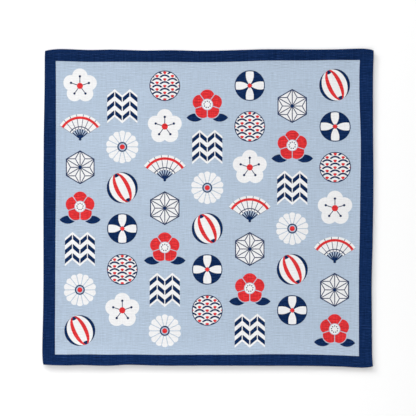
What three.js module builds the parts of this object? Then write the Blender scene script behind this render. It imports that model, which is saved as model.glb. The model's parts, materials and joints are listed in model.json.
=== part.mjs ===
// A small cotton furoshiki, a square wrapping cloth, spread out face up. It is one cut cloth:
// the head and foot edges are turned under and sewn down as narrow hems, and the two sides are
// selvedges. The broad middle lies flat, and the edges run a little unevenly and curl up a little.
// X runs from the left side to the right, Y from the foot to the head, in millimetres, with the
// surface that the cloth lies on at z = 0.
import * as THREE from 'three';

// Driving dimensions
const CLOTH_WIDTH = 500;
const CLOTH_LENGTH = 479;
const CLOTH_THICKNESS = 1.0;
const HEM_DEPTH = 8; // how far the head and foot hems are turned under
const HEM_THICKNESS = 1.6; // the cloth and its turned layers together
const HEM_STEP = 1.5; // over which a hem runs out to the single cloth
const TIP_ROUNDING = 0.3; // how far a corner's tip is drawn in, each way
const TIP_REACH = 6; // how far from a corner that is felt
const OUTLINE_REACH = 70; // how far in from an edge its uneven run is felt

// The sheet's lines: their distances in from each side edge, and from the head and foot edges,
// and the widest spacing in the middle
const LINES_FROM_SIDE = [0, 2, 6, 12, 22, 34, 50];
const LINES_FROM_HEM = [0, 2, 5, HEM_DEPTH, HEM_DEPTH + HEM_STEP, 20, 34, 50];
const MIDDLE_SPACING = 24;

// Each side's run, a row for each bend. at: place along the side from its middle, along X or Y.
// out: how far the edge stands out past the straight cut. rise: how high it lies off the surface.
// curl: how far in from the edge the cloth comes down to the surface.
const HEAD = {
  curl: 34,
  run: [
    { at: -250, out: -1.1, rise: 2.0 },
    { at: -241, out: 0.65, rise: 1.9 },
    { at: -230, out: 1.7, rise: 1.8 },
    { at: -217, out: 1.75, rise: 1.7 },
    { at: -180, out: 0.5, rise: 1.3 },
    { at: -145, out: 1.05, rise: 1.2 },
    { at: -95, out: -0.4, rise: 1.4 },
    { at: -53, out: -0.05, rise: 2.1 },
    { at: -10, out: -0.95, rise: 1.5 },
    { at: 45, out: 0.3, rise: 1.2 },
    { at: 90, out: 1.55, rise: 1.5 },
    { at: 150, out: 1.25, rise: 1.3 },
    { at: 190, out: 1.35, rise: 1.7 },
    { at: 232, out: 2.5, rise: 1.9 },
    { at: 244, out: 1.4, rise: 1.9 },
    { at: 250, out: -0.3, rise: 2.0 },
  ],
};
const FOOT = {
  curl: 46,
  run: [
    { at: -250, out: -2.65, rise: 4.25 },
    { at: -236, out: -1.85, rise: 4.0 },
    { at: -215, out: -1.4, rise: 3.85 },
    { at: -190, out: -1.85, rise: 3.8 },
    { at: -150, out: -0.85, rise: 3.65 },
    { at: -122, out: -2.35, rise: 3.85 },
    { at: -70, out: -0.95, rise: 3.5 },
    { at: -10, out: -1.05, rise: 3.35 },
    { at: 60, out: -0.85, rise: 3.2 },
    { at: 160, out: -0.35, rise: 2.5 },
    { at: 205, out: 0.85, rise: 2.6 },
    { at: 233, out: 2.35, rise: 2.45 },
    { at: 243, out: 1.8, rise: 2.4 },
    { at: 250, out: 0.25, rise: 2.3 },
  ],
};
const LEFT = {
  curl: 34,
  run: [
    { at: -239, out: -0.5, rise: 2.9 },
    { at: -228, out: 0.68, rise: 2.6 },
    { at: -212, out: 1.1, rise: 2.4 },
    { at: -175, out: 0.35, rise: 1.7 },
    { at: -139, out: -0.25, rise: 1.4 },
    { at: -66, out: -0.5, rise: 1.6 },
    { at: 6, out: -0.35, rise: 1.2 },
    { at: 40, out: -0.55, rise: 1.3 },
    { at: 110, out: -1.05, rise: 1.6 },
    { at: 150, out: -1.6, rise: 1.3 },
    { at: 190, out: -2.25, rise: 1.4 },
    { at: 224, out: -2.55, rise: 1.8 },
    { at: 239, out: -2.85, rise: 2.0 },
  ],
};
const RIGHT = {
  curl: 42,
  run: [
    { at: -239, out: 0.5, rise: 2.75 },
    { at: -235, out: -0.4, rise: 2.75 },
    { at: -222, out: -1.1, rise: 2.75 },
    { at: -175, out: -1.5, rise: 2.75 },
    { at: -118, out: -1.95, rise: 2.55 },
    { at: -84, out: -1.3, rise: 2.8 },
    { at: -48, out: -0.25, rise: 2.6 },
    { at: 43, out: 0.8, rise: 2.75 },
    { at: 100, out: 0.45, rise: 2.65 },
    { at: 165, out: 0.1, rise: 2.7 },
    { at: 205, out: 0.2, rise: 3.05 },
    { at: 230, out: 1.0, rise: 2.7 },
    { at: 239, out: 1.1, rise: 2.85 },
  ],
};

const HALF_WIDTH = CLOTH_WIDTH / 2;
const HALF_LENGTH = CLOTH_LENGTH / 2;

// A side's column at a place along it: a smooth cubic through the rows, its slope at each row
// being that between the row's two neighbours.
function along(run, column, at) {
  const last = run.length - 1;
  const place = THREE.MathUtils.clamp(at, run[0].at, run[last].at);
  let low = 0;
  while (low < last - 1 && place > run[low + 1].at) {
    low += 1;
  }
  const slope = (row) => {
    const before = run[Math.max(row - 1, 0)];
    const after = run[Math.min(row + 1, last)];
    return (after[column] - before[column]) / (after.at - before.at);
  };
  const step = run[low + 1].at - run[low].at;
  const t = (place - run[low].at) / step;
  const ease = t * t * (3 - 2 * t);
  const leaving = t * (1 - t) * (1 - t) * step * slope(low);
  const arriving = t * t * (t - 1) * step * slope(low + 1);
  return run[low][column] * (1 - ease) + run[low + 1][column] * ease + leaving + arriving;
}

// 1 at an edge, falling smoothly to 0 at a reach in from it.
function nearness(distance, reach) {
  return THREE.MathUtils.clamp(1 - distance / reach, 0, 1) ** 2;
}

// Where the sheet's lines cross one way: set distances in from either edge, then evenly spaced.
function stations(half, nearEdge) {
  const reach = half - nearEdge[nearEdge.length - 1];
  const count = Math.ceil((2 * reach) / MIDDLE_SPACING);
  const middle = Array.from({ length: count - 1 }, (_, i) => -reach + ((i + 1) * 2 * reach) / count);
  const low = nearEdge.map((distance) => distance - half);
  const high = nearEdge.map((distance) => half - distance).reverse();
  return [...low, ...middle, ...high];
}

// A point of the straight-cut cloth at (a, b) moves with its edges' uneven run, and a corner's tip
// is drawn in. Of the heights of the four curls the higher ones count most.
function placed(a, b) {
  const sides = [
    { side: LEFT, at: b, distance: HALF_WIDTH + a, x: -1, y: 0 },
    { side: RIGHT, at: b, distance: HALF_WIDTH - a, x: 1, y: 0 },
    { side: FOOT, at: a, distance: HALF_LENGTH + b, x: 0, y: -1 },
    { side: HEAD, at: a, distance: HALF_LENGTH - b, x: 0, y: 1 },
  ];
  const point = { x: a, y: b, lift: 0 };
  for (const { side, at, distance, x, y } of sides) {
    const out = along(side.run, 'out', at) * nearness(distance, OUTLINE_REACH);
    point.x += x * out;
    point.y += y * out;
    point.lift += (along(side.run, 'rise', at) * nearness(distance, side.curl)) ** 3;
  }
  point.lift = Math.cbrt(point.lift);
  const cornerX = THREE.MathUtils.clamp(1 - (HALF_WIDTH - Math.abs(a)) / TIP_REACH, 0, 1);
  const cornerY = THREE.MathUtils.clamp(1 - (HALF_LENGTH - Math.abs(b)) / TIP_REACH, 0, 1);
  const pull = TIP_ROUNDING * (cornerX * cornerY) ** 3;
  point.x -= Math.sign(a) * pull;
  point.y -= Math.sign(b) * pull;
  return point;
}

// The thickness at a distance in from the head or foot edge.
function thickness(distance) {
  const turned = THREE.MathUtils.clamp(1 - (distance - HEM_DEPTH) / HEM_STEP, 0, 1);
  return CLOTH_THICKNESS + (HEM_THICKNESS - CLOTH_THICKNESS) * turned;
}

// One closed sheet: the face as a grid of points, the same grid as its underside, where the hems'
// turned layers stand down, and a rim between their outer lines.
function clothGeometry() {
  const columns = stations(HALF_WIDTH, LINES_FROM_SIDE);
  const rows = stations(HALF_LENGTH, LINES_FROM_HEM);
  const face = [];
  const underside = [];
  for (const b of rows) {
    for (const a of columns) {
      const { x, y, lift } = placed(a, b);
      const turnedLayers = thickness(HALF_LENGTH - Math.abs(b)) - CLOTH_THICKNESS;
      face.push(x, y, lift + CLOTH_THICKNESS);
      underside.push(x, y, lift - turnedLayers);
    }
  }

  const across = columns.length;
  const up = rows.length;
  const under = across * up; // where the underside's points begin
  const indices = [];
  for (let row = 0; row < up - 1; row += 1) {
    for (let column = 0; column < across - 1; column += 1) {
      const corner = row * across + column;
      const right = corner + 1;
      const above = corner + across;
      const opposite = above + 1;
      indices.push(corner, right, opposite, corner, opposite, above);
      indices.push(under + corner, under + opposite, under + right);
      indices.push(under + corner, under + above, under + opposite);
    }
  }
  const outer = [
    ...Array.from({ length: across - 1 }, (_, i) => i),
    ...Array.from({ length: up - 1 }, (_, i) => i * across + across - 1),
    ...Array.from({ length: across - 1 }, (_, i) => up * across - 1 - i),
    ...Array.from({ length: up - 1 }, (_, i) => (up - 1 - i) * across),
  ];
  outer.forEach((from, i) => {
    const to = outer[(i + 1) % outer.length];
    indices.push(under + from, under + to, to, under + from, to, from);
  });

  const geometry = new THREE.BufferGeometry();
  geometry.setAttribute('position', new THREE.Float32BufferAttribute([...face, ...underside], 3));
  geometry.setIndex(indices);
  return geometry;
}

// The uneven outline is centred, so that the origin is under the middle of the cloth.
function centred(geometry) {
  geometry.computeBoundingBox();
  const { min, max } = geometry.boundingBox;
  geometry.translate(-(min.x + max.x) / 2, -(min.y + max.y) / 2, -min.z);
  geometry.computeVertexNormals();
  return geometry;
}

const printedCotton = new THREE.MeshStandardMaterial({
  color: 0xb4c4d6,
  roughness: 0.92,
  metalness: 0,
});

const furoshiki = new THREE.Group();
const cloth = new THREE.Mesh(centred(clothGeometry()), printedCotton);
cloth.name = 'furoshiki_cloth';
furoshiki.add(cloth);

export default furoshiki;
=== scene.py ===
import json
import math

import bpy
import numpy as np
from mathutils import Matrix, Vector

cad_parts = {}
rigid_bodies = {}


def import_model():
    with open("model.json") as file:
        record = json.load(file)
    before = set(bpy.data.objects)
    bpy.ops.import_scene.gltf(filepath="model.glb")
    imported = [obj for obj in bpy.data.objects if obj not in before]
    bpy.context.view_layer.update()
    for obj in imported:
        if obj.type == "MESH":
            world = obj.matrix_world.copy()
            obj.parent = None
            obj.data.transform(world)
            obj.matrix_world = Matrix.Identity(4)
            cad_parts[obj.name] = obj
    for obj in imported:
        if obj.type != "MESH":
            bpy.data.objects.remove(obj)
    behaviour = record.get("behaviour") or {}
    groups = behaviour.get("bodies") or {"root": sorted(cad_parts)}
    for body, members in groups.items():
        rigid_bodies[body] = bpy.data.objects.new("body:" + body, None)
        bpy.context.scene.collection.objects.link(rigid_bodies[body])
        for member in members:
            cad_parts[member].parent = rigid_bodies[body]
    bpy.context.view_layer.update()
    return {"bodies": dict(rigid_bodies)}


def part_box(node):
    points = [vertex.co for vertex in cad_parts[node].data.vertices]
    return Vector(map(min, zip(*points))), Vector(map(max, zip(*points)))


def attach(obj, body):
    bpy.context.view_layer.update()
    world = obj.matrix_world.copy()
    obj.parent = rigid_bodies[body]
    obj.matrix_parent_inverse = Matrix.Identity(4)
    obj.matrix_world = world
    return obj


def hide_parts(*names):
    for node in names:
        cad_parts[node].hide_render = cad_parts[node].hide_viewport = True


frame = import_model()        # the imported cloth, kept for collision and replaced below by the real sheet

# A small cotton furoshiki lying face up: one printed sheet with turned hems at its head and foot
# and selvedges at its sides, and the thread that sews the hems. All sizes are in millimetres, and
# a mesh is brought to metres as it is made. a runs from the left side to the right and b from the
# foot to the head, both measured on the straight-cut cloth from its middle.
toMetres = 0.001
bodyName = next(iter(frame["bodies"]))
clothNode = "furoshiki_cloth"
print("frame loaded:", clothNode, "on", bodyName)


# The sheet's shape

cloth = {
    "width": 500.0,
    "length": 479.0,        # finished, from the foot's fold to the head's
    "cutLength": 511.0,     # with the hems let down
    "thickness": 0.42,
    "outlineReach": 70.0,   # how far in from an edge its uneven run is felt
    "tipRounding": 0.3,     # how far a corner's tip is drawn in, each way
    "tipReach": 6.0,
    "columnSpacing": 2.5,   # the mesh's widest spacing across
    "rowSpacing": 4.6,      # and along
    "edgeSpacing": 0.07,    # the finest, at a selvedge
    "edgeGrowth": 0.26,
    "selvedgeWidth": 4.0,
    "selvedgeEase": 1.5,    # over which it thins out to the plain cloth
    "selvedgeThickness": 1.18,  # times the cloth's
    "edgeRounding": 0.24,
    "edgeLeft": 0.25,       # share of the thickness that is left at the very edge
}

hem = {
    "depth": 8.0,           # from the fold to the inner fold
    "gap": 0.1,             # between two of its three layers
    "rawEdge": 1.1,         # how far the turned-in raw edge stops short of the outer fold
    "stitchDepth": 6.5,     # the stitch line, from the fold
    "fallOff": 11.0,        # how far past the hem the cloth takes to come down to the surface
    "underThread": 0.25,    # room for the thread below the hem
    "foldSteps": 8,
    "layerSteps": 6,
    "finestRows": 0.45,
    "rowGrowth": 0.13,
    "troughDepth": 0.14,    # the stitches pull the cloth in along their line
    "troughWidth": 1.3,
    "troughFade": 30.0,     # how far in from the fold the cloth beside that line stands higher
}

# Each side's run, a row for each bend: its place along the side, how far the edge stands out past
# the straight cut, how high it lies off the surface, and how far in the print's border reaches.
# curl is how far in from the edge the cloth comes down to the surface, and the side's own border is
# the print's plain width there.
runColumns = ("at", "out", "rise", "border")
sides = {
    "head": {"curl": 34.0, "border": 17.0, "run": (
        (-250, -1.1, 2.0, 16.1), (-241, 0.65, 1.9, 16.1), (-230, 1.7, 1.8, 16.15),
        (-217, 1.75, 1.7, 16.5), (-180, 0.5, 1.3, 17.6), (-145, 1.05, 1.2, 17.45),
        (-95, -0.4, 1.4, 17.6), (-53, -0.05, 2.1, 17.55), (-10, -0.95, 1.5, 18.05),
        (45, 0.3, 1.2, 17.15), (90, 1.55, 1.5, 15.6), (150, 1.25, 1.3, 15.45),
        (190, 1.35, 1.7, 14.8), (232, 2.5, 1.9, 14.85), (244, 1.4, 1.9, 14.85),
        (250, -0.3, 2.0, 14.85),
    )},
    "foot": {"curl": 46.0, "border": 17.0, "run": (
        (-250, -2.65, 4.25, 17.65), (-236, -1.85, 4.0, 17.65), (-215, -1.4, 3.85, 17.6),
        (-190, -1.85, 3.8, 18.0), (-150, -0.85, 3.65, 17.45), (-122, -2.35, 3.85, 17.75),
        (-70, -0.95, 3.5, 17.05), (-10, -1.05, 3.35, 17.25), (60, -0.85, 3.2, 17.5),
        (97, -0.7, 2.95, 18.15), (160, -0.35, 2.5, 17.5), (205, 0.85, 2.6, 16.15),
        (233, 2.35, 2.45, 14.8), (243, 1.8, 2.4, 14.8), (250, 0.25, 2.3, 14.8),
    )},
    "left": {"curl": 34.0, "border": 18.0, "run": (
        (-239, -0.5, 2.9, 18.3), (-228, 0.68, 2.6, 18.25), (-212, 1.1, 2.4, 18.1),
        (-175, 0.35, 1.7, 18.0), (-139, -0.25, 1.4, 18.3), (-66, -0.5, 1.6, 18.55),
        (6, -0.35, 1.2, 19.05), (40, -0.55, 1.3, 19.45), (110, -1.05, 1.6, 19.45),
        (150, -1.6, 1.3, 19.4), (190, -2.25, 1.4, 19.3), (224, -2.55, 1.8, 19.05),
        (239, -2.85, 2.0, 19.05),
    )},
    "right": {"curl": 42.0, "border": 20.0, "run": (
        (-239, 0.5, 2.75, 21.1), (-235, -0.4, 2.75, 21.1), (-222, -1.1, 2.75, 21.0),
        (-175, -1.5, 2.75, 20.95), (-118, -1.95, 2.55, 21.05), (-84, -1.3, 2.8, 20.75),
        (-48, -0.25, 2.6, 19.9), (43, 0.8, 2.75, 18.65), (100, 0.45, 2.65, 18.15),
        (165, 0.1, 2.7, 20.1), (205, 0.2, 3.05, 20.3), (230, 1.0, 2.7, 19.2),
        (239, 1.1, 2.85, 19.2),
    )},
}

# Slow swells where the cloth hasn't quite settled, and short puckers where the hems are sewn
swell = {
    "seed": 11,
    "count": 12,
    "shortest": 55.0,
    "longest": 170.0,
    "turn": math.pi,        # how far its waves may run off straight across, either way
    "height": 0.42,
}
pucker = {
    "seed": 5,
    "count": 7,
    "shortest": 7.5,
    "longest": 17.0,
    "turn": 0.3,
    "lean": 0.35,           # how much its waves slant with the depth in from the fold
    "shift": 90.0,          # along the hem, so that the foot's and the head's differ
    "height": 0.26,
    "reach": 9.0,
}

halfWidth = cloth["width"] / 2
halfLength = cloth["length"] / 2
turnRadius = cloth["thickness"] + hem["gap"]     # of the outer fold's middle line
foldStart = cloth["thickness"] / 2 + turnRadius  # where the outer fold begins, in from the edge


def smoothStep(t):
    # 0 below 0, 1 above 1, and the cubic 3t^2 - 2t^3 between
    t = np.clip(t, 0, 1)
    return t * t * (3 - 2 * t)


def alongSide(side, column, at):
    # a smooth cubic through the side's rows, its slope at a row being that between its neighbours
    rows = np.array(side["run"], float)
    places, values = rows[:, 0], rows[:, runColumns.index(column)]
    before = np.maximum(np.arange(len(rows)) - 1, 0)
    after = np.minimum(np.arange(len(rows)) + 1, len(rows) - 1)
    slopes = (values[after] - values[before]) / (places[after] - places[before])
    place = np.clip(at, places[0], places[-1])
    low = np.clip(np.searchsorted(places, place) - 1, 0, len(rows) - 2)
    step = places[low + 1] - places[low]
    t = (place - places[low]) / step
    ease = t * t * (3 - 2 * t)
    leaving = t * (1 - t) ** 2 * step * slopes[low]
    arriving = t * t * (t - 1) * step * slopes[low + 1]
    return values[low] * (1 - ease) + values[low + 1] * ease + leaving + arriving


def nearness(distance, reach):
    # 1 at an edge, falling with the square of what is left to 0 at a reach in from it
    return np.clip(1 - distance / reach, 0, 1) ** 2


def sidePlaces(a, b):
    # for each side: its table, where along it and how far in from it a point is, and which way is out
    return (
        (sides["left"], b, halfWidth + a, (-1, 0)),
        (sides["right"], b, halfWidth - a, (1, 0)),
        (sides["foot"], a, halfLength + b, (0, -1)),
        (sides["head"], a, halfLength - b, (0, 1)),
    )


def waves(settings, x, y):
    # a sum of cosines of random lengths, phases and turns, about -1 to 1
    random = np.random.default_rng(settings["seed"])
    lengths = random.uniform(settings["shortest"], settings["longest"], settings["count"])
    phases = random.uniform(0, 2 * math.pi, settings["count"])
    turns = random.uniform(-settings["turn"], settings["turn"], settings["count"])
    total = np.zeros(np.broadcast(x, y).shape)
    for wavelength, phase, turn in zip(lengths, phases, turns):
        total += np.cos(2 * math.pi * (x * math.cos(turn) + y * math.sin(turn)) / wavelength + phase)
    return np.clip(total / math.sqrt(2 * settings["count"]), -1, 1)


def sheetPoint(a, b):
    # the middle of the sheet's thickness: edges moved by their uneven run, corners drawn in, and the
    # height the cube root of the cubes of the four curls and of the hem's own stack of layers, so
    # that the higher counts most, with the swells and puckers on top
    x, y = a.astype(float), b.astype(float)
    cubes = np.zeros(a.shape)
    for side, at, distance, (outX, outY) in sidePlaces(a, b):
        out = alongSide(side, "out", at) * nearness(distance, cloth["outlineReach"])
        x = x + outX * out
        y = y + outY * out
        cubes += (alongSide(side, "rise", at) * nearness(distance, side["curl"])) ** 3
    cornerX = np.clip(1 - (halfWidth - abs(a)) / cloth["tipReach"], 0, 1)
    cornerY = np.clip(1 - (halfLength - abs(b)) / cloth["tipReach"], 0, 1)
    pull = cloth["tipRounding"] * (cornerX * cornerY) ** 3
    x = x - np.sign(a) * pull
    y = y - np.sign(b) * pull

    depth = halfLength - abs(b)
    pastHem = smoothStep((depth - hem["depth"]) / hem["fallOff"])
    stack = (2 * turnRadius + hem["underThread"]) * (1 - pastHem)
    lift = np.cbrt(cubes + stack ** 3)
    lift += swell["height"] * (1 + waves(swell, a, b)) / 2
    ridge = (1 + waves(pucker, a + np.sign(b) * pucker["shift"], depth * pucker["lean"])) / 2
    lift += pucker["height"] * ridge * np.exp(-((depth - hem["stitchDepth"]) / pucker["reach"]) ** 2)
    line = (depth - hem["stitchDepth"]) / hem["troughWidth"]
    fade = np.clip(1 - depth / hem["troughFade"], 0, 1)
    lift += hem["troughDepth"] * (1 - np.exp(-line * line)) * fade
    return np.stack((x, y, lift + cloth["thickness"] / 2), -1)


def unit(vectors):
    return vectors / np.linalg.norm(vectors, axis=-1, keepdims=True)


def sheetFrame(a, b):
    # the sheet's point, the direction square to it and the one along b, from small differences
    nudge = 0.05
    point = sheetPoint(a, b)
    acrossStep = sheetPoint(a + nudge, b) - point
    alongStep = sheetPoint(a, b + nudge) - point
    return point, unit(np.cross(acrossStep, alongStep)), unit(alongStep)


def stations(half, spacing):
    # places from -half to half, with the given spacing at each depth in from either end: counts of
    # 1 / spacing are summed up, and the depths at whole counts are read off
    samples = 5001
    depth = np.linspace(0, half, samples)
    count = np.concatenate(([0], np.cumsum(np.diff(depth) / spacing(depth[1:]))))
    near = np.interp(np.linspace(0, count[-1], round(count[-1]) + 1), count, depth)
    return np.concatenate((near[:-1] - half, half - near[::-1]))


def hemSection():
    # one hem from where its outer fold begins to the raw edge inside: half a turn under, the bottom
    # layer, half a turn up and the middle layer. Gives each row's depth in from the fold, its drop
    # below the sheet, where its printed side looks, outward and upward, and its run along the cloth
    inner = turnRadius / 2
    innerAt = hem["depth"] - inner
    half = np.linspace(0, math.pi, hem["foldSteps"] + 1)[1:]
    bottom = np.linspace(foldStart, innerAt, hem["layerSteps"] + 1)[1:]
    middle = np.linspace(innerAt, foldStart + hem["rawEdge"], hem["layerSteps"] + 1)[1:]
    flat = np.zeros(hem["layerSteps"])
    depth = np.concatenate((foldStart - turnRadius * np.sin(half), bottom,
                            innerAt + inner * np.sin(half), middle))
    drop = np.concatenate((-turnRadius * (1 - np.cos(half)), flat - 2 * turnRadius,
                           inner * (1 - np.cos(half)) - 2 * turnRadius, flat - turnRadius))
    outward = np.concatenate((np.sin(half), flat, -np.sin(half), flat))
    upward = np.concatenate((np.cos(half), flat - 1, -np.cos(half), flat + 1))
    run = np.cumsum(np.hypot(np.diff(depth, prepend=foldStart), np.diff(drop, prepend=0)))
    return depth, drop, outward, upward, run


def sheetRows():
    # every row of the sheet, from the raw edge in the foot's hem to the raw edge in the head's
    depth, drop, outward, upward, run = hemSection()
    flatHalf = halfLength - foldStart
    stitchAt = hem["stitchDepth"] - foldStart
    main = stations(flatHalf, lambda d: np.minimum(
        cloth["rowSpacing"], hem["finestRows"] + hem["rowGrowth"] * abs(d - stitchAt)))
    level = np.zeros(len(main))
    return {
        "b": np.concatenate((depth[::-1] - halfLength, main, halfLength - depth)),
        "drop": np.concatenate((drop[::-1], level, drop)),
        "outward": np.concatenate((-outward[::-1], level, outward)),
        "upward": np.concatenate((upward[::-1], level + 1, upward)),
        "run": np.concatenate((-flatHalf - run[::-1], main, flatHalf + run)),
    }


printFade = {"from": 24.0, "over": 60.0}  # how far in the border's unevenness fades out


def printShift(side, at, distance):
    # how far the print's border reaches past its plain width here, fading out inside the field
    border = alongSide(side, "border", at)
    out = alongSide(side, "out", at) * nearness(border, cloth["outlineReach"])
    fade = 1 - smoothStep((distance - printFade["from"]) / printFade["over"])
    return (border + out - side["border"]) * fade


def printPlan(a, run):
    # where each point lies on the flat print: the border's inner edges run straight there
    left, right, foot, head = (
        printShift(side, at, distance) for side, at, distance, _ in sidePlaces(a, run))
    return np.stack((a - left + right, run - foot + head), -1)


def gridQuads(rows, columns, start, flipped):
    # the quads of a grid of points stored row by row, their corners counter-clockwise from above
    corner = start + (np.arange(rows - 1)[:, None] * columns + np.arange(columns - 1)).ravel()
    quads = np.stack((corner, corner + 1, corner + columns + 1, corner + columns), -1)
    return quads[:, ::-1] if flipped else quads


def rimQuads(rows, columns, under):
    # a strip between the outline of the face grid and that of the back grid
    first = np.arange(columns)
    last = (rows - 1) * columns + first
    left = np.arange(rows) * columns
    right = left + columns - 1
    outline = np.concatenate((first[:-1], right[:-1], last[:0:-1], left[:0:-1]))
    after = np.roll(outline, -1)
    return np.stack((under + outline, under + after, after, outline), -1)


def meshPiece(name, points, faceSets, material):
    # one mesh from points in millimetres and arrays of three- or four-sided faces
    mesh = bpy.data.meshes.new(name)
    mesh.vertices.add(len(points))
    mesh.vertices.foreach_set("co", (points * toMetres).astype(np.float32).ravel())
    corners = np.concatenate([faces.ravel() for faces in faceSets])
    sizes = np.concatenate([np.full(len(faces), faces.shape[1]) for faces in faceSets])
    mesh.loops.add(len(corners))
    mesh.loops.foreach_set("vertex_index", corners.astype(np.int32))
    mesh.polygons.add(len(sizes))
    mesh.polygons.foreach_set("loop_start", (np.cumsum(sizes) - sizes).astype(np.int32))
    mesh.polygons.foreach_set("use_smooth", np.ones(len(sizes), bool))
    mesh.materials.append(material)
    mesh.update(calc_edges=True)
    piece = bpy.data.objects.new(name, mesh)
    bpy.context.scene.collection.objects.link(piece)
    return piece, corners


def addMap(piece, name, places):
    # a UV map from one place for each face corner
    layer = piece.data.uv_layers.new(name=name)
    layer.uv.foreach_set("vector", places.astype(np.float32).ravel())


# Each band's lowest and highest place up the baked picture, and what is left free at its sides
bakeBands = {"face": (0.004, 0.694), "back": (0.706, 0.974), "rim": (0.984, 0.997)}
bakeMargin = 0.004


def bakePlaces(a, run, corners, rimCount):
    # the sheet laid flat on one picture: the face over most of it, the back above that, and the rim
    # unrolled along the top
    flat = np.stack((a / cloth["width"] + 0.5, run / (2 * run.max()) + 0.5), -1).reshape(-1, 2)
    across = 1 - 2 * bakeMargin
    grids = [flat * (across, high - low) + (bakeMargin, low)
             for low, high in (bakeBands["face"], bakeBands["back"])]
    start = np.arange(rimCount) / rimCount
    end = start + 1 / rimCount
    low, high = (np.full(rimCount, level) for level in bakeBands["rim"])
    rim = np.stack((start, low, end, low, end, high, start, high), -1).reshape(-1, 2)
    return np.concatenate((np.concatenate(grids)[corners[:-4 * rimCount]], rim))


def makeSheet(material):
    # the cloth's face and back, half a thickness either side of the sheet and round the hems' folds,
    # closed by a rim. Near a selvedge the half thickness runs out as a quarter circle does
    columns = stations(halfWidth, lambda d: np.minimum(
        cloth["columnSpacing"], cloth["edgeSpacing"] + cloth["edgeGrowth"] * d))
    rows = sheetRows()
    a, b = np.meshgrid(columns, rows["b"])
    point, normal, alongB = sheetFrame(a, b)
    drop, outward, upward = (rows[key][:, None, None] for key in ("drop", "outward", "upward"))

    edge = halfWidth - abs(columns)
    rounding = np.clip(1 - edge / cloth["edgeRounding"], 0, 1)
    band = 1 - smoothStep((edge - cloth["selvedgeWidth"]) / cloth["selvedgeEase"])
    half = cloth["thickness"] / 2 * (1 + (cloth["selvedgeThickness"] - 1) * band)
    left = cloth["edgeLeft"]
    half = (half * (left + (1 - left) * np.sqrt(1 - rounding ** 2)))[None, :, None]
    middle = point + normal * drop
    looks = alongB * outward + normal * upward
    points = np.stack((middle + looks * half, middle - looks * half)).reshape(-1, 3)

    low, high = points.min(0), points.max(0)
    boxLow, boxHigh = (np.array(corner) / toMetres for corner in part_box(clothNode))
    centring = np.append(((boxLow + boxHigh) / 2 - (low + high) / 2)[:2], 0)
    points += centring

    shape = len(rows["b"]), len(columns)
    under = a.size
    faceSets = [gridQuads(*shape, 0, False), gridQuads(*shape, under, True), rimQuads(*shape, under)]
    piece, corners = meshPiece("furoshiki_sheet", points, faceSets, material)

    run = np.broadcast_to(rows["run"][:, None], a.shape)
    plan = printPlan(a, run).reshape(-1, 2)
    addMap(piece, "printPlan", np.concatenate((plan, plan))[corners])
    addMap(piece, "OFBake", bakePlaces(a, run, corners, len(faceSets[2])))
    back = piece.data.attributes.new("backSide", "FLOAT", "POINT")
    back.data.foreach_set("value", np.repeat(np.float32([0, 1]), under))
    print("sheet:", *shape, "rows and columns,", 2 * len(piece.data.polygons), "triangles")
    return piece, centring


# The hems' stitches

stitch = {
    "seed": 3,
    "fromEdge": 2.2,   # where a row begins and ends, in from a selvedge
    "pitch": 2.65,
    "length": 2.3,
    "radius": 0.15,
    "bedded": 0.35,    # share of the radius that is sunk in the cloth
    "slant": 0.22,     # how far the far end lies to one side
    "wander": 0.06,
    "sections": 6,
    "around": 6,
    "twist": 0.9,      # length of one turn of the thread's ply
}


def stitchRow(end, onBack, random):
    # a row of stitches along one hem, at end +1 for the head and -1 for the foot: each is a short
    # thread that rises out of the cloth and dips back, its radius that of a long round-ended bead
    reach = halfWidth - stitch["fromEdge"]
    starts = np.arange(-reach, reach - stitch["length"], stitch["pitch"])
    starts = starts + random.normal(0, stitch["wander"], len(starts))
    if onBack:
        starts = starts + stitch["pitch"] / 2
    s = np.linspace(0, 1, stitch["sections"] + 2)
    lean = stitch["slant"] * (s - 0.5) + random.normal(0, stitch["wander"], (len(starts), 1))
    a = starts[:, None] + s * stitch["length"]
    b = end * (halfLength - hem["stitchDepth"]) + lean
    point, normal, alongB = sheetFrame(a, b)
    arch = 1 - (2 * s - 1) ** 4
    radius = (stitch["radius"] * np.sqrt(1 - abs(2 * s - 1) ** 3))[None, :, None, None]
    height = cloth["thickness"] / 2 + stitch["radius"] * (arch * (2 - stitch["bedded"]) - 1)
    if onBack:
        height = -2 * turnRadius - height
    centre = point + normal * height[..., None]
    turn = np.arange(stitch["around"]) * 2 * math.pi / stitch["around"]
    ring = alongB[:, :, None] * np.cos(turn)[:, None] + normal[:, :, None] * np.sin(turn)[:, None]
    return centre[:, :, None] + ring * radius


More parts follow.
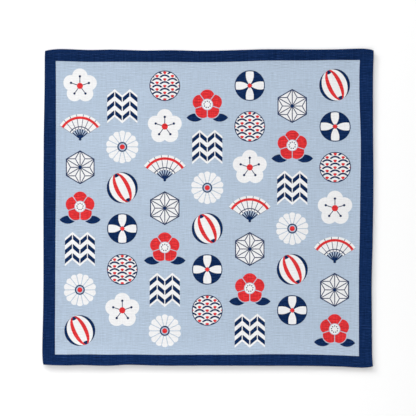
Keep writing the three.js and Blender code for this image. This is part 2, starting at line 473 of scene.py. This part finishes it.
def makeStitching(material, centring):
    # both hems' stitches, face and back, as one mesh of closed beads
    random = np.random.default_rng(stitch["seed"])
    beads = np.concatenate([
        stitchRow(end, onBack, random) for end in (-1, 1) for onBack in (False, True)])
    count, sections, around = len(beads), stitch["sections"], stitch["around"]
    poles = beads[:, [0, -1], 0]
    rings = beads[:, 1:-1].reshape(count, -1, 3)
    points = np.concatenate((poles, rings), 1) + centring
    perBead = points.shape[1]

    k = np.arange(around)
    after = (k + 1) % around
    ring = 2 + np.arange(sections - 1)[:, None] * around
    quads = np.stack(np.broadcast_arrays(
        ring + k, ring + after, ring + around + after, ring + around + k), -1).reshape(-1, 4)
    last = 2 + (sections - 1) * around
    caps = np.concatenate((np.stack((np.zeros_like(k), 2 + after, 2 + k), -1),
                           np.stack((np.ones_like(k), last + k, last + after), -1)))
    base = (np.arange(count) * perBead)[:, None, None]
    faceSets = [(base + quads).reshape(-1, 4), (base + caps).reshape(-1, 3)]
    piece, corners = meshPiece("hem_stitching", points.reshape(-1, 3), faceSets, material)

    quadRuns = np.repeat(np.arange(sections - 1), around)[:, None] + np.array((0, 0, 1, 1))
    quadTurns = np.tile(k, sections - 1)[:, None] + np.array((0, 1, 1, 0))
    capRuns = np.repeat(np.array(((-1, 0, 0), (sections, sections - 1, sections - 1))), around, 0)
    capTurns = np.stack((
        np.tile(k, 2) + 0.5, np.concatenate((k + 1, k)), np.concatenate((k, k + 1))), -1)
    runs = [np.tile(part.ravel(), count) for part in (quadRuns, capRuns)]
    turns = [np.tile(part.ravel(), count) for part in (quadTurns, capTurns)]
    run = (np.concatenate(runs) + 1) / (sections + 1) * stitch["length"]
    addMap(piece, "threadRun", np.stack((run, np.concatenate(turns) / around), -1))
    print("stitching:", count, "stitches,", len(faceSets[0]) * 2 + len(faceSets[1]), "triangles")
    return piece


# Numbers worked out by a material at each place of the print

class planValue:
    # a number with a Math node behind it: + - * / and abs on it, or a helper below, adds another
    def __init__(self, tree, socket):
        self.tree = tree
        self.socket = socket

    def __add__(self, other):
        return mathNode("ADD", self, other)

    def __sub__(self, other):
        return mathNode("SUBTRACT", self, other)

    def __rsub__(self, other):
        return mathNode("SUBTRACT", other, self)

    def __mul__(self, other):
        return mathNode("MULTIPLY", self, other)

    def __truediv__(self, other):
        return mathNode("DIVIDE", self, other)

    def __neg__(self):
        return mathNode("MULTIPLY", self, -1)

    def __abs__(self):
        return mathNode("ABSOLUTE", self)

    __radd__ = __add__
    __rmul__ = __mul__


def mathNode(operation, *values, clamp=False):
    tree = next(value.tree for value in values if isinstance(value, planValue))
    node = tree.nodes.new("ShaderNodeMath")
    node.operation = operation
    node.use_clamp = clamp
    for entry, value in zip(node.inputs, values):
        if isinstance(value, planValue):
            tree.links.new(value.socket, entry)
        else:
            entry.default_value = value
    return planValue(tree, node.outputs["Value"])


def smaller(first, *others):
    for other in others:
        first = mathNode("MINIMUM", first, other)
    return first


def larger(first, *others):
    for other in others:
        first = mathNode("MAXIMUM", first, other)
    return first


def length(x, y):
    return mathNode("SQRT", x * x + y * y)


def disc(x, y, radius):
    # how far outside a disc about (0, 0) a point lies
    return length(x, y) - radius


def wrapped(x, half):
    # x brought into -half to half, so that what is drawn there repeats
    return mathNode("WRAP", x, half, -half)


def turned(x, y, count, start=math.pi / 2):
    # places in one of count equal sectors: u outward along its middle line and v square to it
    angle = wrapped(mathNode("ARCTAN2", y, x) - start, math.pi / count)
    radius = length(x, y)
    return radius * mathNode("COSINE", angle), radius * mathNode("SINE", angle)


# The printed motifs
# Each takes places in millimetres from its own middle and gives, for each ink, how far outside the
# ink's shape a point lies, negative inside. White is printed first, then navy, then red.

plumSizes = {"heart": 3.9, "core": 6.0, "petal": 9.9, "petalAt": 12.0, "stamen": 7.5,
             "stamenHalf": 3.6, "stamenWidth": 0.5, "tip": 1.5}


def plumBlossom(x, y):
    # five round petals with a stamen down each, and a red heart
    size = plumSizes
    u, v = turned(x, y, 5)
    radius = length(x, y)
    petal = disc(u - size["petalAt"], v, size["petal"])
    stamen = larger(abs(v) - size["stamenWidth"], abs(u - size["stamen"]) - size["stamenHalf"])
    tip = disc(u - size["petalAt"], v, size["tip"])
    return {"white": smaller(petal, radius - size["core"]), "navy": smaller(stamen, tip),
            "red": radius - size["heart"]}


fanSizes = {"pivot": -16.0, "half": math.radians(57), "ribs": 7, "leaf": 22.0, "leafHalf": 9.5,
            "fold": 0.38, "stick": 0.8, "stickEnd": 13.0, "rim": 15.6, "rimHalf": 0.6,
            "band": 27.0, "bandHalf": 1.6, "rivet": 1.8}


def foldingFan(x, y):
    # an open fan: a pleated leaf between two radii, a red band along it, and sticks to a rivet
    size = fanSizes
    y = y - size["pivot"]
    radius = length(x, y)
    angle = mathNode("ARCTAN2", x, y)
    pleat = size["half"] / size["ribs"]
    side = larger(radius * mathNode("SINE", abs(angle) - size["half"]), -y)
    leaf = larger(side, abs(radius - size["leaf"]) - size["leafHalf"])
    folds = larger(abs(wrapped(angle + pleat, pleat)) * radius - size["fold"], leaf)
    sticks = larger(abs(wrapped(angle, pleat)) * radius - size["stick"], side,
                    radius - size["stickEnd"])
    rim = larger(side, abs(radius - size["rim"]) - size["rimHalf"])
    band = larger(side, abs(radius - size["band"]) - size["bandHalf"])
    return {"white": leaf, "navy": smaller(folds, sticks, rim, radius - size["rivet"]), "red": band}


hempSizes = {"apothem": 18.5, "line": 0.55, "rim": 0.65}


def hempLeaf(x, y):
    # the old hemp-leaf star: a hexagon ruled into thin kites
    size = hempSizes
    apothem = size["apothem"]
    knot = apothem * 2 / 3
    lean = math.cos(math.pi / 6)
    u, v = turned(x, y, 6, start=0)
    v = abs(v)
    spoke = larger(v - size["line"], u - knot)
    arms = larger(abs((u - knot) * lean - v * 0.5) - size["line"], knot - u)
    edge = abs(u * 0.5 - v * lean) - size["line"]
    rim = abs(u - (apothem - size["rim"])) - size["rim"]
    return {"white": u - apothem, "navy": larger(u - apothem, smaller(spoke, arms, edge, rim))}


camelliaSizes = {"raise": 2.0, "petal": 9.4, "petalAt": 9.5, "core": 8.0, "gap": 0.5, "heart": 6.4,
                 "ring": 7.2, "dots": 9, "dotAt": 4.0, "dot": 0.8, "leafX": 15.5, "leafY": -16.5,
                 "leafRadius": 13.6, "leafOffset": 8.5, "leafGap": 1.0}


def camellia(x, y):
    # five broad red petals about a white heart with a ring of dots, and a navy leaf either side
    size = camelliaSizes
    y = y - size["raise"]
    u, v = turned(x, y, 5)
    radius = length(x, y)
    petal = smaller(disc(u - size["petalAt"], v, size["petal"]), radius - size["core"])
    between = math.pi / 5 - abs(mathNode("ARCTAN2", v, u))
    gap = size["gap"] - radius * mathNode("SINE", between)
    t, s = turned(x, y, size["dots"])
    dots = disc(t - size["dotAt"], s, size["dot"])
    leafX = abs(x) - size["leafX"]
    leafY = y - size["leafY"]
    leaf = larger(disc(leafX, leafY + size["leafOffset"], size["leafRadius"]),
                  disc(leafX, leafY - size["leafOffset"], size["leafRadius"]),
                  size["leafGap"] - petal)
    return {"white": radius - size["heart"], "navy": smaller(dots, leaf),
            "red": larger(petal, gap, size["ring"] - radius)}


arrowSizes = {"half": 19.0, "feather": 9.5, "lean": 0.85, "drop": 4.0, "height": 17.5,
              "stripe": 5.8, "shaft": 0.55}


def arrowFeathers(x, y):
    # two feathers side by side with leaning bars, the old arrow-feather pattern
    size = arrowSizes
    lean = abs(abs(x) - size["feather"])
    level = y + lean * size["lean"] - size["drop"]
    shape = larger(abs(x) - size["half"], abs(level) - size["height"])
    bars = abs(wrapped(level, size["stripe"])) - size["stripe"] / 2
    shafts = smaller(lean, abs(x)) - size["shaft"]
    return {"white": shape, "navy": larger(shape, bars, -shafts)}


daisySizes = {"petals": 14, "petal": 4.2, "petalAt": 16.3, "reach": 16.6, "gap": 0.47,
              "inside": 6.6, "ring": 5.4, "ringHalf": 0.75, "heart": 3.2}


def chrysanthemum(x, y):
    # fourteen narrow white petals, a navy ring and a red heart
    size = daisySizes
    u, v = turned(x, y, size["petals"])
    radius = length(x, y)
    petal = smaller(disc(u - size["petalAt"], v, size["petal"]), radius - size["reach"])
    between = math.pi / size["petals"] - abs(mathNode("ARCTAN2", v, u))
    gap = size["gap"] - radius * mathNode("SINE", between)
    return {"white": larger(petal, gap, size["inside"] - radius),
            "navy": abs(radius - size["ring"]) - size["ringHalf"], "red": radius - size["heart"]}


ballSizes = {"radius": 19.5, "turn": 0.45, "redAt": 0.36, "redHalf": 0.125, "navyFrom": 0.8,
             "capAt": 17.2, "capFlat": 1.9, "cap": 4.4}


def threadBall(x, y):
    # a thread-wound ball: bands that bow with its width, and a navy cap at either end
    size = ballSizes
    c, s = math.cos(size["turn"]), math.sin(size["turn"])
    x, y = x * c + y * s, y * c - x * s
    outside = length(x, y) - size["radius"]
    width = mathNode("SQRT", larger(size["radius"] ** 2 - y * y, 1))
    red = larger(abs(abs(x) - width * size["redAt"]) - width * size["redHalf"], outside)
    cap = disc(x, (abs(y) - size["capAt"]) * size["capFlat"], size["cap"])
    navy = larger(smaller(width * size["navyFrom"] - abs(x), cap), outside)
    return {"white": outside, "navy": navy, "red": red}


coinSizes = {"radius": 19.0, "ring": 0.97, "rim": 1.2, "diamond": 3.4}


def sevenTreasures(x, y):
    # a round of four pointed leaves left white on navy, from circles that overlap, and a red diamond
    size = coinSizes
    radius = size["radius"]
    offset = radius * math.sqrt(0.5)
    ring = radius * size["ring"]
    outside = length(x, y) - radius
    left, right = x + offset, x - offset
    high, low = abs(y) - offset, abs(x) - offset
    upright = larger(disc(right, high, ring), disc(left, high, ring))
    level = larger(disc(low, y - offset, ring), disc(low, y + offset, ring))
    leaves = larger(smaller(upright, level), outside + size["rim"])
    return {"white": leaves, "navy": larger(outside, -leaves), "red": abs(x) + abs(y) - size["diamond"]}


waveSizes = {"radius": 19.3, "scale": 9.65, "rise": 4.25, "base": -27.6, "ring": 7.0,
             "ringHalf": 1.05, "heart": 3.3, "rim": 1.1}


def blueWaves(x, y):
    # a round of overlapping scales, the old wave pattern. A row's scales stand behind those of the
    # row below, which are moved half a scale across: where a point is inside both, the lower shows
    size = waveSizes
    scale, rise = size["scale"], size["rise"]
    level = (y - size["base"]) / rise
    row = mathNode("FLOOR", level)
    above = (level - row) * rise
    across = x - mathNode("MODULO", row, 2.0) * scale
    behind = length(wrapped(across, scale), above)
    inFront = length(wrapped(across + scale, scale), above + rise)
    radius = behind + (inFront - behind) * mathNode("LESS_THAN", inFront, scale)
    outside = disc(x, y, size["radius"])
    rings = smaller(abs(radius - size["ring"]) - size["ringHalf"], -outside - size["rim"])
    return {"white": outside, "navy": larger(rings, outside),
            "red": larger(radius - size["heart"], outside + size["rim"])}


motifs = (plumBlossom, foldingFan, hempLeaf, camellia, arrowFeathers, chrysanthemum, threadBall,
          sevenTreasures, blueWaves)

layout = {
    "centre": -1.0,         # of the field, across
    "fieldWidth": 462.0,
    "fieldLength": 445.0,
    "columns": 7,
    "rows": 7,              # in every other column one fewer, half a step down
    "columnPitch": 64.5,
    "rowPitch": 62.0,
    "scale": 1.21,          # of the motifs
    "nextColumn": 4,        # motifs skipped from one column to the next
    "inkEdge": 0.3,         # how soft an ink's edge is
    "outside": 20.0,        # taken as far outside any shape
}


def motifInks(p, q):
    # finds the motif's cell in the half-dropped columns, and how much of each ink lies at a place
    columns, rows = layout["columns"], layout["rows"]
    across = (p - layout["centre"]) / layout["columnPitch"] + columns / 2
    column = mathNode("FLOOR", across)
    odd = mathNode("MODULO", column, 2.0)
    inColumn = rows - odd
    down = inColumn / 2 - q / layout["rowPitch"]
    row = mathNode("FLOOR", down)
    x = (across - column - 0.5) * (layout["columnPitch"] / layout["scale"])
    y = (row + 0.5 - down) * (layout["rowPitch"] / layout["scale"])
    within = smaller(
        mathNode("GREATER_THAN", column, -0.5), mathNode("LESS_THAN", column, columns - 0.5),
        mathNode("GREATER_THAN", row, -0.5), mathNode("LESS_THAN", row, inColumn - 0.5))
    kind = mathNode("MODULO", column * layout["nextColumn"] + row, float(len(motifs)))
    depths = {"white": None, "navy": None, "red": None}
    for number, motif in enumerate(motifs):
        chosen = mathNode("COMPARE", kind, float(number), 0.5) * within
        for ink, outside in motif(x, y).items():
            depth = (layout["outside"] - outside) * chosen
            depths[ink] = depth if depths[ink] is None else depths[ink] + depth
    edge = layout["inkEdge"]
    return {ink: mathNode("MULTIPLY_ADD", depth, 1 / edge, 0.5 - layout["outside"] / edge, clamp=True)
            for ink, depth in depths.items()}


# The printed cotton

cotton = {
    "fieldBlue": (0.398, 0.482, 0.592),
    "white": (0.766, 0.765, 0.771),
    "navy": (0.0026, 0.018, 0.077),
    "red": (0.63, 0.0285, 0.0333),
    "undyed": (0.74, 0.74, 0.71),
    "showThrough": 0.45,     # how far the dye goes through to the back
    "backShade": 0.3,        # how much darker the back's bare cotton is than white ink
    "bleed": 0.5,            # how far the inks' edges stray, in millimetres,
    "bleedPitch": 0.8,       # and from one stray place to the next
    "thinInk": 0.001,        # share that the ink leaves bare on an even yarn, and
    "thinSpread": 0.02,      # how much more where it is thick
    "yarnPitch": 0.55,
    "yarnDrift": 1.0,        # how far the yarns stray from even places,
    "driftWidth": 9.0,       # which changes over this much square to them
    "driftLength": 40.0,     # and this much along them
    "overUnder": 0.45,       # the crossings' share of the weave's height, the rest is round yarns
    "weaveHeight": 0.05,
    "slubHeight": 0.11,
    "slubToneAndShading": 0.41,        # how much the uneven yarns lighten and darken the cloth: partly the yarns' own tone, partly painted highlight on the thick raised yarns and painted shade on the thin ones
    "navySlubShading": 0.95,        # how much more where it is navy, there mostly painted highlight and shade of the raised yarns,
    "redTone": 0.65,         # where it is red,
    "whiteTone": -0.22,      # and less where it is white
    "grainPitch": 0.7,       # the finest unevenness, from one fibre tuft to the next,
    "grainTone": 0.26,       # and how much it lightens and darkens
    "roughness": 0.9,
    "roughnessSpread": 0.08,
    "specular": 0.04,
    "sheen": 0.02,
    "sheenRoughness": 0.5,
    "bumpStrength": 1.0,
}

# The uneven yarns: how long and how wide the thick and thin places of each kind are, and its share
slubs = {
    "coarseLength": 34.0,
    "coarseWidth": 0.95,
    "coarseShare": 0.6,
    "fineLength": 5.0,
    "fineWidth": 0.6,
    "fineShare": 0.7,
    "uprightLength": 30.0,
    "uprightWidth": 1.1,
    "uprightShare": 0.6,
    "fullerPitch": 4.15,     # from one fuller yarn to the next
    "fullerLength": 12.0,
    "fullerSpread": 11.0,    # over how much up the cloth they come and go
    "fullerShare": 0.65,
}


def colourMix(tree, factor, first, second):
    # first where factor is 0 and second where it is 1; either may be a colour or a socket
    node = tree.nodes.new("ShaderNodeMix")
    node.data_type = "RGBA"
    tree.links.new(factor.socket, node.inputs["Factor"])
    for entry, value in ((node.inputs[6], first), (node.inputs[7], second)):
        if isinstance(value, bpy.types.NodeSocket):
            tree.links.new(value, entry)
        else:
            entry.default_value = (*value, 1)
    return node.outputs[2]


def noiseOn(x, y, detail=2.0):
    # soft random values of 0 to 1 over a plane, one bump about every unit
    tree = x.tree
    place = tree.nodes.new("ShaderNodeCombineXYZ")
    tree.links.new(x.socket, place.inputs[0])
    tree.links.new(y.socket, place.inputs[1])
    node = tree.nodes.new("ShaderNodeTexNoise")
    node.noise_dimensions = "2D"
    node.inputs["Scale"].default_value = 1
    node.inputs["Detail"].default_value = detail
    tree.links.new(place.outputs[0], node.inputs["Vector"])
    return planValue(tree, node.outputs[0])


def planPlaces(tree, mapName):
    # the two numbers of a UV map
    node = tree.nodes.new("ShaderNodeUVMap")
    node.uv_map = mapName
    split = tree.nodes.new("ShaderNodeSeparateXYZ")
    tree.links.new(node.outputs[0], split.inputs[0])
    return planValue(tree, split.outputs[0]), planValue(tree, split.outputs[1])


def emptyMaterial(name):
    material = bpy.data.materials.new(name)
    material.use_nodes = True
    tree = material.node_tree
    return material, tree, tree.nodes["Principled BSDF"]


def slubYarns(p, q):
    # cotton spun unevenly: thick and thin places along the yarns, coarse and fine ones across and
    # fewer up and down, and a fuller yarn every few millimetres, less their mean: about -0.5 to 0.5
    coarse = noiseOn(p / slubs["coarseLength"] + 7.3, q / slubs["coarseWidth"])
    fine = noiseOn(p / slubs["fineLength"], q / slubs["fineWidth"] + 2.9)
    upright = noiseOn(p / slubs["uprightWidth"] + 3.1, q / slubs["uprightLength"])
    fuller = mathNode("SINE", q * (2 * math.pi / slubs["fullerPitch"]))
    fuller = fuller * (noiseOn(p / slubs["fullerLength"] + 1.7, q / slubs["fullerSpread"], 0.0) - 0.5)
    total = (coarse * slubs["coarseShare"] + fine * slubs["fineShare"]
             + upright * slubs["uprightShare"] + fuller * slubs["fullerShare"])
    return total - (slubs["coarseShare"] + slubs["fineShare"] + slubs["uprightShare"]) / 2


def plainWeave(p, q):
    # each yarn rises and sinks along its length as it goes over and under the others, and the higher
    # of the two yarns shows
    width, run = cotton["driftWidth"], cotton["driftLength"]
    p = p + noiseOn(p / width, q / run, 1.0) * cotton["yarnDrift"]
    q = q + noiseOn(p / run, q / width + 5.7, 1.0) * cotton["yarnDrift"]
    across = mathNode("SINE", p * (math.pi / cotton["yarnPitch"]))
    along = mathNode("SINE", q * (math.pi / cotton["yarnPitch"]))
    over = across * along * cotton["overUnder"]
    crown = 1 - cotton["overUnder"]
    return larger(abs(across) * crown + over, abs(along) * crown - over)


def clothMaterial():
    # the print on plain-woven slub cotton. On the back only part of the dye has gone through, which
    # leaves each colour raised to the power of that part
    material, tree, shader = emptyMaterial("printed_slub_cotton")
    p, q = planPlaces(tree, "printPlan")
    stray = cotton["bleedPitch"]
    printP = p + (noiseOn(p / stray, q / stray + 4.1, 1.0) - 0.5) * cotton["bleed"]
    printQ = q + (noiseOn(p / stray + 6.7, q / stray, 1.0) - 0.5) * cotton["bleed"]
    inks = motifInks(printP, printQ)
    pastSides = abs(printP - layout["centre"]) - layout["fieldWidth"] / 2
    pastEnds = abs(printQ) - layout["fieldLength"] / 2
    border = mathNode(
        "MULTIPLY_ADD", larger(pastSides, pastEnds), 1 / layout["inkEdge"], 0.5, clamp=True)

    slub = slubYarns(p, q)
    grain = noiseOn(p / cotton["grainPitch"], q / cotton["grainPitch"], 1.0) - 0.5
    colour = colourMix(tree, inks["white"], cotton["fieldBlue"], cotton["white"])
    colour = colourMix(tree, larger(inks["navy"], border), colour, cotton["navy"])
    colour = colourMix(tree, inks["red"], colour, cotton["red"])
    bare = mathNode("MULTIPLY_ADD", slub, cotton["thinSpread"], cotton["thinInk"], clamp=True)
    colour = colourMix(tree, bare, colour, cotton["undyed"])

    back = tree.nodes.new("ShaderNodeAttribute")
    back.attribute_name = "backSide"
    lost = planValue(tree, back.outputs["Fac"]) * (1 - cotton["showThrough"])
    thinned = tree.nodes.new("ShaderNodeGamma")
    tree.links.new(colour, thinned.inputs["Color"])
    tree.links.new((1 - lost).socket, thinned.inputs["Gamma"])

    # thick yarns lighter and thin ones darker: partly their own tone, partly painted highlight and painted
    # shade, most of it on navy
    strength = (larger(inks["navy"], border) * cotton["navySlubShading"] + inks["red"] * cotton["redTone"]
                + inks["white"] * cotton["whiteTone"] + cotton["slubToneAndShading"])
    tone = (1 + slub * strength + grain * cotton["grainTone"]) * (1 - lost * cotton["backShade"])
    toned = tree.nodes.new("ShaderNodeVectorMath")
    toned.operation = "SCALE"
    tree.links.new(thinned.outputs[0], toned.inputs[0])
    tree.links.new(tone.socket, toned.inputs["Scale"])
    tree.links.new(toned.outputs[0], shader.inputs["Base Color"])

    rough = cotton["roughness"] + slub * cotton["roughnessSpread"]
    tree.links.new(rough.socket, shader.inputs["Roughness"])
    height = plainWeave(p, q) * cotton["weaveHeight"] + slub * cotton["slubHeight"]
    bump = tree.nodes.new("ShaderNodeBump")
    bump.inputs["Strength"].default_value = cotton["bumpStrength"]
    bump.inputs["Distance"].default_value = toMetres
    tree.links.new(height.socket, bump.inputs["Height"])
    tree.links.new(bump.outputs[0], shader.inputs["Normal"])
    shader.inputs["Specular IOR Level"].default_value = cotton["specular"]
    shader.inputs["Sheen Weight"].default_value = cotton["sheen"]
    shader.inputs["Sheen Roughness"].default_value = cotton["sheenRoughness"]
    print("printed cotton:", len(tree.nodes), "nodes")
    return material


thread = {
    "navy": (0.004, 0.019, 0.072),
    # lighter navy for the plies' crests, a painted highlight
    "crestHighlight": (0.013, 0.036, 0.115),
    "ply": 0.045,            # how far the ply stands out
    "plies": 2,
    "roughness": 0.6,
    "specular": 0.25,
}


def threadMaterial():
    # navy sewing thread, its two plies twisted round each other, with a painted highlight of lighter navy
    # along each ply's crest
    material, tree, shader = emptyMaterial("navy_sewing_thread")
    run, around = planPlaces(tree, "threadRun")
    twist = mathNode("SINE", (run / stitch["twist"] + around) * (2 * math.pi * thread["plies"]))
    # painted highlight: the colour turns lighter where the ply's bump is highest
    lit = colourMix(tree, twist * 0.5 + 0.5, thread["navy"], thread["crestHighlight"])
    tree.links.new(lit, shader.inputs["Base Color"])
    bump = tree.nodes.new("ShaderNodeBump")
    bump.inputs["Distance"].default_value = toMetres
    tree.links.new((twist * thread["ply"]).socket, bump.inputs["Height"])
    tree.links.new(bump.outputs[0], shader.inputs["Normal"])
    shader.inputs["Roughness"].default_value = thread["roughness"]
    shader.inputs["Specular IOR Level"].default_value = thread["specular"]
    return material


# The studio

studio = {
    "floorSize": 60.0,       # metres
    "floorDrop": 0.0001,
    "floorShade": 0.935,
    "floorRoughness": 0.8,
    "floorGlow": 0.85,       # evens out the far floor, where the softboxes don't reach
    "glowFrom": 0.55,        # and how far from the cloth's middle it begins and is full
    "glowTo": 1.6,
    "skyHorizon": 1.0,
    "skyTop": 0.33,
    "skyFall": 9.0,          # how fast the sky darkens upward
    # each softbox: its place, its size across and up, and its power in watts
    "keySoftbox": ((-1.884, 2.411, 0.936), (1.6, 0.6), 88.0),
    "headSoftbox": ((0.0, 3.277, 2.294), (2.2, 1.6), 65.0),
    "lowSoftbox": ((0.0, 2.853, 0.927), (1.4, 0.6), 13.0),
    "footSoftbox": ((0.0, -0.849, 0.849), (1.0, 0.6), 3.6),
    "leftSoftbox": ((-0.517, -0.188, 0.953), (0.8, 0.8), 2.25),
}

lensView = {
    "lens": 85.0,
    "sensor": 36.0,
    "frameWidth": 0.6317,    # of the surface, in metres, that the picture takes in
    "aim": (0.00008, 0.0002),
}


def makeFloor():
    # a broad pale surface just under the cloth; its glow grows evenly with the distance
    half = studio["floorSize"] / 2
    mesh = bpy.data.meshes.new("floor")
    corners = [(-half, -half), (half, -half), (half, half), (-half, half)]
    mesh.from_pydata([(x, y, -studio["floorDrop"]) for x, y in corners], [], [(0, 1, 2, 3)])
    material, tree, shader = emptyMaterial("white_surface")
    shader.inputs["Base Color"].default_value = (*[studio["floorShade"]] * 3, 1)
    shader.inputs["Roughness"].default_value = studio["floorRoughness"]
    shader.inputs["Specular IOR Level"].default_value = 0.0
    split = tree.nodes.new("ShaderNodeSeparateXYZ")
    tree.links.new(tree.nodes.new("ShaderNodeTexCoord").outputs["Object"], split.inputs[0])
    distance = length(planValue(tree, split.outputs[0]), planValue(tree, split.outputs[1]))
    reach = studio["glowTo"] - studio["glowFrom"]
    glow = mathNode("MULTIPLY_ADD", distance, 1 / reach, -studio["glowFrom"] / reach, clamp=True)
    tree.links.new((glow * studio["floorGlow"]).socket, shader.inputs["Emission Strength"])
    shader.inputs["Emission Color"].default_value = (1, 1, 1, 1)
    material.cycles.emission_sampling = "NONE"
    mesh.materials.append(material)
    floor = bpy.data.objects.new("floor", mesh)
    bpy.context.scene.collection.objects.link(floor)


def aimedAt(obj, place, target):
    # puts a light or camera at a place, looking at the target
    obj.location = place
    direction = np.array(target) - np.array(place)
    tilt = math.atan2(math.hypot(direction[0], direction[1]), -direction[2])
    obj.rotation_euler = (tilt, 0, math.atan2(-direction[0], direction[1]) if tilt > 1e-6 else 0)
    bpy.context.scene.collection.objects.link(obj)


def softLight(name, place, size, power):
    # a rectangular softbox looking at the cloth's middle
    lamp = bpy.data.lights.new(name, "AREA")
    lamp.shape = "RECTANGLE"
    lamp.size, lamp.size_y = size
    lamp.energy = power
    box = bpy.data.objects.new(name, lamp)
    box.visible_camera = False
    aimedAt(box, place, (0, 0, 0))


def makeStudio():
    # a pale sky, brightest at the horizon, and softboxes: a far key past the head on the left, two
    # more past the head, and two near ones that fill in from the foot and the left
    world = bpy.data.worlds.new("studio_sky")
    bpy.context.scene.world = world
    world.use_nodes = True
    tree = world.node_tree
    places = tree.nodes.new("ShaderNodeTexCoord")
    split = tree.nodes.new("ShaderNodeSeparateXYZ")
    tree.links.new(places.outputs["Generated"], split.inputs[0])
    up = larger(planValue(tree, split.outputs[2]), 0.0)
    glow = mathNode("EXPONENT", up * -studio["skyFall"])
    strength = studio["skyTop"] + glow * (studio["skyHorizon"] - studio["skyTop"])
    tree.links.new(strength.socket, tree.nodes["Background"].inputs["Strength"])
    tree.nodes["Background"].inputs["Color"].default_value = (1, 1, 1, 1)
    for name in ("keySoftbox", "headSoftbox", "lowSoftbox", "footSoftbox", "leftSoftbox"):
        softLight(name, *studio[name])
    bpy.context.scene.view_settings.view_transform = "Standard"


def makeCamera():
    # straight above, so far off that the picture takes in the given width of the surface
    lens = bpy.data.cameras.new("overhead_camera")
    lens.lens = lensView["lens"]
    lens.sensor_width = lensView["sensor"]
    camera = bpy.data.objects.new("overhead_camera", lens)
    distance = lensView["frameWidth"] * lensView["lens"] / lensView["sensor"]
    aimX, aimY = lensView["aim"]
    aimedAt(camera, (aimX, aimY, distance), (aimX, aimY, 0))
    bpy.context.scene.camera = camera


makeCamera()
makeFloor()
makeStudio()
print("studio set")

sheet, centring = makeSheet(clothMaterial())
stitching = makeStitching(threadMaterial(), centring)
for piece in (sheet, stitching):
    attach(piece, bodyName)
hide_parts(clothNode)
print("cloth laid")
